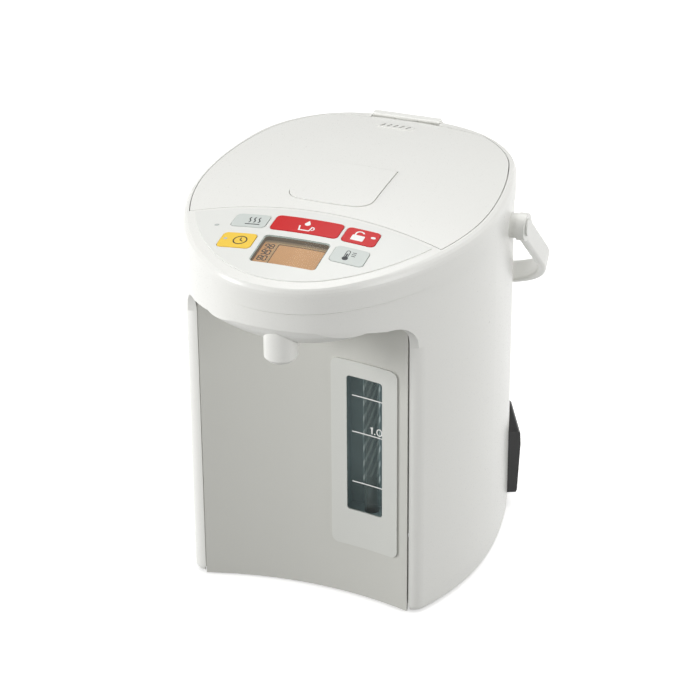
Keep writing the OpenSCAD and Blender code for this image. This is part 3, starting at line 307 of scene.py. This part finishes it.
NODE_LOOKS = {
    "white": ["body_casing", "nose_cover", "spout", "top_frame", "handle_bushes", "bail_handle",
              "lid_outer", "lid_lever", "steam_vent", "detach_lever"],
    "panel": ["front_panel"],
    "bezel": ["gauge_bezel"],
    "window": ["gauge_window", "display_window"],
    "tube": ["riser_tube"],
    "film": ["control_film"],
    "red": ["dispense_key", "unlock_key"],
    "yellow": ["timer_key"],
    "grey": ["boil_key", "temperature_key"],
    "green": ["panel_board"],
    "brown": ["power_board"],
    "black": ["key_switches", "power_receptacle", "board_parts", "motor_rotor", "display_module"],
    "dark": ["gauge_housing"],
    "white_inner": ["base_plate", "vessel_stand", "pump_partition", "impeller", "pump_housing",
                    "tip_valve", "lid_under", "lid_latch", "steam_box"],
    "steel": ["inner_vessel", "outer_jacket"],
    "pressed": ["lid_cover", "tip_valve_ball"],
    "plated": ["panel_screws", "base_screws", "heat_shield", "pump_motor", "lever_pins",
               "latch_spring", "hinge_pin", "thermistor", "heater_ring"],
    "brass": ["receptacle_pins"],
    "rubber": ["rubber_feet", "motor_cushion"],
    "silicone": ["mouth_packing", "inlet_sleeve", "outlet_elbow", "spout_pipe", "lid_gasket"],
}


def dress_nodes():
    for look, names in NODE_LOOKS.items():
        for name in names:
            mesh = NODES[name].data
            mesh.materials.clear()
            mesh.materials.append(M[look])


dress_nodes()


# ---------- floor, lights and camera ----------

def floor_material():
    """Pale floor. The camera and reflections see it lifted to white, with the shadow round the pot."""
    mat = new_material("floor_white")
    path = add(mat, "ShaderNodeLightPath")
    seen = add(mat, "ShaderNodeMath", _operation="MAXIMUM")
    seen_through = add(mat, "ShaderNodeMath", _operation="MAXIMUM")
    join(mat, path.outputs["Is Camera Ray"], seen.inputs[0])
    join(mat, path.outputs["Is Glossy Ray"], seen.inputs[1])
    join(mat, seen.outputs[0], seen_through.inputs[0])
    join(mat, path.outputs["Is Transmission Ray"], seen_through.inputs[1])
    plain = add(mat, "ShaderNodeBsdfDiffuse")
    cloud = spread(mat, noise(mat, 3.0), 0.0, 1.0)
    join(mat, mix(mat, cloud, srgb(150, 150, 149), srgb(146, 146, 145)), plain.inputs["Color"])
    coord = add(mat, "ShaderNodeTexCoord")
    away = add(mat, "ShaderNodeVectorMath", _operation="LENGTH")
    lift = add(mat, "ShaderNodeMapRange")
    lift.inputs["From Min"].default_value = 0.7
    lift.inputs["From Max"].default_value = 2.2
    lift.inputs["To Min"].default_value = 0.5
    lift.inputs["To Max"].default_value = 1.0
    glow = add(mat, "ShaderNodeEmission")
    join(mat, coord.outputs["Object"], away.inputs[0])
    join(mat, away.outputs["Value"], lift.inputs["Value"])
    join(mat, lift.outputs["Result"], glow.inputs["Strength"])
    lit = add(mat, "ShaderNodeBsdfDiffuse", Color=srgb(244, 244, 243))
    both = add(mat, "ShaderNodeAddShader")
    join(mat, lit.outputs[0], both.inputs[0])
    join(mat, glow.outputs[0], both.inputs[1])
    pick = add(mat, "ShaderNodeMixShader")
    join(mat, seen_through.outputs[0], pick.inputs[0])
    join(mat, plain.outputs[0], pick.inputs[1])
    join(mat, both.outputs[0], pick.inputs[2])
    return finish_surface(mat, pick)


def build_floor():
    mesh = bpy.data.meshes.new("floor")
    bm = bmesh.new()
    bmesh.ops.create_circle(bm, cap_ends=True, segments=96, radius=6.0)
    bm.to_mesh(mesh)
    bm.free()
    floor = bpy.data.objects.new("floor", mesh)
    bpy.context.scene.collection.objects.link(floor)
    mesh.materials.append(floor_material())


def build_world():
    """Soft room light, even in every direction, and white where the camera looks."""
    world = bpy.data.worlds.new("studio")
    bpy.context.scene.world = world
    world.use_nodes = True
    tree = world.node_tree
    tree.nodes.clear()
    out = tree.nodes.new("ShaderNodeOutputWorld")
    path = tree.nodes.new("ShaderNodeLightPath")
    soft = tree.nodes.new("ShaderNodeBackground")
    soft.inputs["Color"].default_value = (1.0, 1.0, 0.99, 1.0)
    soft.inputs["Strength"].default_value = 0.28
    white = tree.nodes.new("ShaderNodeBackground")
    white.inputs["Strength"].default_value = 1.0
    pick = tree.nodes.new("ShaderNodeMixShader")
    tree.links.new(path.outputs["Is Camera Ray"], pick.inputs[0])
    tree.links.new(soft.outputs[0], pick.inputs[1])
    tree.links.new(white.outputs[0], pick.inputs[2])
    tree.links.new(pick.outputs[0], out.inputs["Surface"])


def softbox(name, place, aim, size, power):
    data = bpy.data.lights.new(name, "AREA")
    data.shape = "RECTANGLE"
    data.size = size[0]
    data.size_y = size[1]
    data.energy = power
    obj = bpy.data.objects.new(name, data)
    obj.location = place
    obj.rotation_euler = (Vector(aim) - Vector(place)).to_track_quat("-Z", "Y").to_euler()
    bpy.context.scene.collection.objects.link(obj)


def build_lights():
    softbox("key_left", (-1.9, -1.2, 0.7), (0, 0, 0.14), (1.0, 0.9), 31)
    softbox("front", (-0.9, -2.0, 0.6), (0, 0, 0.14), (0.7, 0.6), 6)
    softbox("top", (0.1, 0.6, 1.9), (0, 0, 0.2), (1.8, 1.8), 24.5)
    softbox("right", (1.9, -0.4, 0.6), (0, 0, 0.14), (1.0, 1.0), 14)


def build_camera():
    """The photograph's camera, from a fit of the pot's seams, silhouette, gauge and deck."""
    azimuth = math.radians(20.13)
    elevation = math.radians(28.55)
    tilt = math.radians(-0.374)
    distance = 1.905
    target = Vector((0, -0.0033, 0.1374))
    away = Vector((math.sin(azimuth) * math.cos(elevation), -math.cos(azimuth) * math.cos(elevation),
                   math.sin(elevation)))
    data = bpy.data.cameras.new("camera")
    data.sensor_width = 36.0
    data.lens = 142.6
    data.shift_x = 0.0035
    data.shift_y = 0.0144
    data.clip_start = 0.05
    data.clip_end = 30.0
    camera = bpy.data.objects.new("camera", data)
    turn = (-away).to_track_quat("-Z", "Y").to_matrix().to_4x4()
    roll = Matrix.Rotation(tilt, 4, "Z")
    camera.matrix_world = Matrix.Translation(target + distance * away) @ turn @ roll
    bpy.context.scene.collection.objects.link(camera)
    bpy.context.scene.camera = camera


build_floor()
build_world()
build_lights()
build_camera()
bpy.context.scene.view_settings.view_transform = "Standard"


# ---------- pieces ----------

def on_dome(rise):
    """A place function: plan coordinates in millimetres, and a height above the dome raised by rise."""
    def place(u, v, h):
        across = LONG_R - SIDE_R + math.sqrt((SIDE_R + (rise + h) * MM) ** 2 - (u * MM) ** 2)
        z = CROWN_Z - LONG_R + math.sqrt(across ** 2 - (v * MM) ** 2)
        return (u * MM, v * MM, z)
    return place


def on_panel(depth):
    """A place function on the front panel: across and up in millimetres, depth behind its face."""
    def place(u, v, h):
        r = PANEL_R + (depth - h) * MM
        return (u * MM, PANEL_MIDDLE - PANEL_R + math.sqrt(r ** 2 - (u * MM) ** 2), v * MM)
    return place


class Shape:
    """Closed thin solids on a curved surface: ribbons along lines, and patches inside outlines."""

    def __init__(self, place, centre=(0, 0), low=-0.06, high=0.05):
        self.place = place
        self.centre = centre
        self.levels = (low, high)
        self.verts = []
        self.faces = []

    def point(self, u, v, h):
        self.verts.append(self.place(self.centre[0] + u, self.centre[1] + v, h))
        return len(self.verts) - 1

    def ribbon(self, points, width, closed=False):
        """A band of even width along a line, mitred at its corners."""
        count = len(points)
        rows = []
        for i, (x, y) in enumerate(points):
            before = points[i - 1] if closed or i > 0 else points[i]
            after = points[(i + 1) % count] if closed or i < count - 1 else points[i]
            along = Vector((after[0] - before[0], after[1] - before[1])).normalized()
            first = Vector((x - before[0], y - before[1]))
            bend = 1.0
            if first.length > 0 and (closed or i < count - 1):
                bend = max(0.5, abs(first.normalized().dot(along)))
            side = Vector((-along.y, along.x)) * (width / 2 / bend)
            low, high = self.levels
            corners = ((1, low), (-1, low), (-1, high), (1, high))
            rows.append([self.point(x + k * side.x, y + k * side.y, h) for k, h in corners])
        for i in range(count if closed else count - 1):
            a, b = rows[i], rows[(i + 1) % count]
            for k in range(4):
                self.faces.append((a[k], b[k], b[(k + 1) % 4], a[(k + 1) % 4]))
        if not closed:
            self.faces.append(tuple(rows[0]))
            self.faces.append(tuple(reversed(rows[-1])))

    def patch(self, outline):
        """A flat patch inside a convex outline."""
        low = [self.point(x, y, self.levels[0]) for x, y in outline]
        high = [self.point(x, y, self.levels[1]) for x, y in outline]
        self.faces.append(tuple(reversed(low)))
        self.faces.append(tuple(high))
        for i in range(len(outline)):
            k = (i + 1) % len(outline)
            self.faces.append((low[i], low[k], high[k], high[i]))

    @classmethod
    def of(cls, verts, faces):
        """A shape from points and faces that are already in place."""
        shape = cls(None)
        shape.verts = verts
        shape.faces = faces
        return shape

    def make(self, name, look, body, slot):
        mesh = bpy.data.meshes.new(name)
        mesh.from_pydata(self.verts, [], self.faces)
        bm = bmesh.new()
        bm.from_mesh(mesh)
        bmesh.ops.recalc_face_normals(bm, faces=bm.faces)
        bm.to_mesh(mesh)
        bm.free()
        piece = bpy.data.objects.new(name, mesh)
        bpy.context.scene.collection.objects.link(piece)
        mesh.materials.append(M[look])
        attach(piece, body)
        return piece


def arc(x, y, r, start, end, steps=12):
    """Points of an arc about x, y from start to end degrees."""
    angles = [math.radians(start + (end - start) * i / steps) for i in range(steps + 1)]
    return [(x + r * math.cos(a), y + r * math.sin(a)) for a in angles]


def oval(x, y, rx, ry, steps=20):
    return [(x + rx * math.cos(2 * math.pi * i / steps), y + ry * math.sin(2 * math.pi * i / steps))
            for i in range(steps)]


def steps_along(corners, steps):
    """A line through corners with its straight stretches divided, so that it can follow a dome."""
    points = [corners[0]]
    for a, b in zip(corners, corners[1:]):
        for i in range(1, steps + 1):
            points.append((a[0] + (b[0] - a[0]) * i / steps, a[1] + (b[1] - a[1]) * i / steps))
    return points


def rounded_box(x, y, w, h, r):
    corners = ((x + w / 2 - r, y + h / 2 - r, 0), (x - w / 2 + r, y + h / 2 - r, 90),
               (x - w / 2 + r, y - h / 2 + r, 180), (x + w / 2 - r, y - h / 2 + r, 270))
    return [p for cx, cy, start in corners for p in arc(cx, cy, r, start, start + 90, 4)]


def dispense_pictogram():
    """A cup with a handle, and a drop above it."""
    shape = Shape(on_dome(KEY_RISE), KEY_CENTRES["dispense_key"])
    shape.ribbon([(-4.6, -0.6), (-3.7, -5.6), (3.1, -5.6), (4.0, -0.6)], 1.0)
    shape.ribbon(arc(3.9, -2.9, 1.9, 80, -80, 8), 0.8)
    drop = arc(-0.3, 2.0, 1.9, -205, 25, 12) + [(-0.3, 6.2)]
    shape.patch(drop)
    shape.make("dispense_pictogram", "print_white", "dispense_key", "control_film")


def unlock_pictogram():
    """An open padlock, with the lamp's lens beside it."""
    shape = Shape(on_dome(KEY_RISE), KEY_CENTRES["unlock_key"])
    shape.patch(rounded_box(-1.6, -2.2, 8.4, 6.2, 0.8))
    shape.ribbon([(-4.2, 0.6)] + arc(-1.6, 2.8, 2.6, 180, 20, 10), 1.1)
    shape.make("unlock_pictogram", "print_white", "unlock_key", "control_film")
    lens = Shape(on_dome(KEY_RISE), KEY_CENTRES["unlock_key"], high=0.12)
    lens.patch(oval(7.7, 1.5, 1.6, 1.3))
    lens.make("unlock_lamp", "print_white", "unlock_key", "control_film")


def boil_pictogram():
    """Three curls of steam over a line."""
    shape = Shape(on_dome(KEY_RISE), KEY_CENTRES["boil_key"])
    for x in (-0.6, 2.6, 5.8):
        shape.ribbon([(x + 0.7 * math.sin(i * math.pi / 4), -2.4 + 0.8 * i) for i in range(9)], 0.75)
    shape.ribbon([(-2.4, -4.4), (7.6, -4.4)], 0.9)
    shape.make("boil_pictogram", "print_dark", "boil_key", "control_film")


def timer_pictogram():
    """A clock's ring and hands, with the lamp's lens beside it."""
    shape = Shape(on_dome(KEY_RISE), KEY_CENTRES["timer_key"])
    shape.ribbon(oval(2.2, 0, 4.4, 4.4, 24), 0.8, closed=True)
    shape.ribbon([(2.2, 2.9), (2.2, 0), (4.3, -1.2)], 0.75)
    shape.make("timer_pictogram", "print_dark", "timer_key", "control_film")
    lens = Shape(on_dome(KEY_RISE), KEY_CENTRES["timer_key"], high=0.12)
    lens.patch(oval(-8.2, 0.8, 1.3, 1.1))
    lens.make("timer_lamp", "lens_grey", "timer_key", "control_film")


def temperature_pictogram():
    """A thermometer with three marks."""
    shape = Shape(on_dome(KEY_RISE), KEY_CENTRES["temperature_key"])
    shape.patch(oval(-1.8, -3.6, 2.0, 2.0))
    shape.ribbon([(-1.8, -3.0), (-1.8, 1.8)], 1.1)
    shape.ribbon([(-3.0, -2.4), (-3.0, 4.0)] + arc(-1.8, 4.0, 1.2, 180, 0, 6)[1:] + [(-0.6, -2.4)], 0.5)
    for y in (0.2, 2.1, 4.0):
        shape.ribbon([(1.0, y), (3.6, y)], 0.6)
    shape.make("temperature_pictogram", "print_dark", "temperature_key", "control_film")


SEGMENTS = {
    "top": ((0.12, 2), (0.88, 2)), "upper_left": ((0, 1.9), (0, 1.1)), "upper_right": ((1, 1.9), (1, 1.1)),
    "middle": ((0.12, 1), (0.88, 1)), "lower_left": ((0, 0.9), (0, 0.1)),
    "lower_right": ((1, 0.9), (1, 0.1)), "bottom": ((0.12, 0), (0.88, 0)),
}
NOT_LIT = {"0": ["middle"], "8": [], "9": ["lower_left"]}


def seven_segments(shape, digit, x, y, w, h, stroke):
    """A digit with its lower left corner at x, y."""
    for name, (a, b) in SEGMENTS.items():
        if name not in NOT_LIT[digit]:
            shape.ribbon([(x + a[0] * w, y + a[1] * h / 2), (x + b[0] * w, y + b[1] * h / 2)], stroke)


def display_face():
    """The amber sheet just under the deck's wall, curved with it; its material carries a painted glow and
    a painted shadow.
    """
    columns, rows = 14, 10
    place = on_dome(0)
    verts, faces = [], []
    for h in LCD_LEVELS:
        for j in range(rows + 1):
            for i in range(columns + 1):
                verts.append(place(DISPLAY[0] + LCD_SIZE[0] * (i / columns - 0.5),
                                   DISPLAY[1] + LCD_SIZE[1] * (j / rows - 0.5), h))
    layer = (columns + 1) * (rows + 1)

    def at(i, j, k):
        return k * layer + j * (columns + 1) + i
    for j in range(rows):
        for i in range(columns):
            for k in (0, 1):
                faces.append((at(i, j, k), at(i + 1, j, k), at(i + 1, j + 1, k), at(i, j + 1, k)))
    for i in range(columns):
        for j in (0, rows):
            faces.append((at(i, j, 0), at(i + 1, j, 0), at(i + 1, j, 1), at(i, j, 1)))
    for j in range(rows):
        for i in (0, columns):
            faces.append((at(i, j, 0), at(i, j + 1, 0), at(i, j + 1, 1), at(i, j, 1)))
    Shape.of(verts, faces).make("display_face", "lcd", "pot", "display_amber")


def display_marks():
    """Temperatures in a column at the left, and the frame of the empty figure beside them."""
    left, top, pitch, row_pitch = -19.7, 5.0, 3.4, 6.7
    numbers = Shape(on_dome(LCD_LEVELS[1]), DISPLAY)
    for row, text in enumerate(("98", "90", "80")):
        for i, digit in enumerate(text):
            seven_segments(numbers, digit, left + pitch * i, top - row_pitch * row, 2.4, 4.9, 0.8)
    numbers.make("display_numbers", "print_dark", "pot", "display_amber")
    edge = Shape(on_dome(LCD_LEVELS[1]), DISPLAY)
    edge.ribbon(steps_along([(-11.4, -15.4), (-11.4, 10.6), (21.6, 10.6)], 12), 0.5)
    edge.make("display_frame", "print_brown", "pot", "display_amber")
    light = Shape(on_dome(LCD_LEVELS[1]), DISPLAY)
    light.ribbon(steps_along([(-12.4, -15.4), (-12.4, 11.6), (21.6, 11.6)], 12), 0.9)
    light.make("display_frame_light", "print_pale", "pot", "display_amber")


def display_liner():
    """A dark ring on the walls round the display, under the clear cover: painted shade, where the deck's
    walls shade the recess.
    """
    outline = rounded_box(0, 0, 43.4, 29.4, 2.2)
    shape = Shape(on_dome(0), DISPLAY, low=-2.6, high=-0.15)
    shape.ribbon(steps_along(outline + outline[:1], 4)[:-1], 0.4, closed=True)
    shape.make("display_liner", "liner", "pot", "display_amber")


def film_lamp():
    lens = Shape(on_dome(FILM_RISE), (-59.3, -85.3), high=0.1)
    lens.patch(oval(0, 0, 1.7, 1.2))
    lens.make("keep_warm_lamp", "lens_grey", "pot", "control_film")


def gauge_marks():
    """White level lines on the window, and the number of the middle one."""
    shape = Shape(on_panel(-WINDOW_RISE), (GAUGE_X, 0), low=-0.05, high=0.04)
    for z in LEVEL_LINES:
        shape.ribbon([(-9.2 + 3.2 * i, z) for i in range(8)], 0.75)
    base = LEVEL_LINES[1] + 1.5
    shape.ribbon([(4.1, base + 4.2), (5.5, base + 5.2), (5.5, base)], 0.75)
    shape.patch(oval(7.5, base + 0.5, 0.5, 0.5, 12))
    shape.ribbon(oval(11.1, base + 2.6, 1.9, 2.4, 20), 0.75, closed=True)
    shape.make("gauge_marks", "print_white", "pot", "control_film")


def gauge_reflector():
    """A bent sheet with slanted lines behind the riser tube."""
    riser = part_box("riser_tube")
    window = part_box("gauge_window")
    x, y = (riser[0] + riser[1]).x / 2, (riser[0] + riser[1]).y / 2
    inner = (riser[1].x - riser[0].x) / 2 + 0.0003
    outer = inner + 0.0005
    low, high = REFLECTOR_FOOT, window[1].z - 0.001
    verts, faces = [], []
    steps, start, sweep = 16, -10, 200
    for i in range(steps + 1):
        a = math.radians(start + sweep * i / steps)
        for r, z in ((inner, low), (outer, low), (outer, high), (inner, high)):
            verts.append((x + r * math.cos(a), y + r * math.sin(a), z))
    for i in range(steps):
        for k in range(4):
            n = (k + 1) % 4
            faces.append((4 * i + k, 4 * i + 4 + k, 4 * i + 4 + n, 4 * i + n))
    faces.append((0, 1, 2, 3))
    faces.append(tuple(reversed(range(4 * steps, 4 * steps + 4))))
    Shape.of(verts, faces).make("gauge_reflector", "hatch", "pot", "clear_window")


def latch_coil():
    """The latch's spring as a fixed coil of wire; the real spring shortens as the lever draws the latch
    back.
    """
    low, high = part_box("latch_spring")
    wire = 0.0003
    radius = (high.x - low.x) / 2 - wire
    turns, steps, sides = 5, 16, 8
    length = high.y - low.y - 2 * wire
    verts, faces = [], []
    for i in range(turns * steps + 1):
        a = 2 * math.pi * i / steps
        y = low.y + wire + length * i / (turns * steps)
        for k in range(sides):
            b = 2 * math.pi * k / sides
            r = radius + wire * math.cos(b)
            verts.append(((low.x + high.x) / 2 + r * math.cos(a), y + wire * math.sin(b),
                          (low.z + high.z) / 2 + r * math.sin(a)))
    for i in range(turns * steps):
        for k in range(sides):
            n = (k + 1) % sides
            faces.append((i * sides + k, (i + 1) * sides + k, (i + 1) * sides + n, i * sides + n))
    faces.append(tuple(range(sides)))
    faces.append(tuple(range(turns * steps * sides, (turns * steps + 1) * sides)))
    coil = Shape.of(verts, faces).make("latch_coil", "plated", "lid", "plated_steel")
    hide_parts("latch_spring")
    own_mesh(coil)


dispense_pictogram()
unlock_pictogram()
boil_pictogram()
timer_pictogram()
temperature_pictogram()
display_face()
display_marks()
display_liner()
film_lamp()
gauge_marks()
gauge_reflector()
latch_coil()
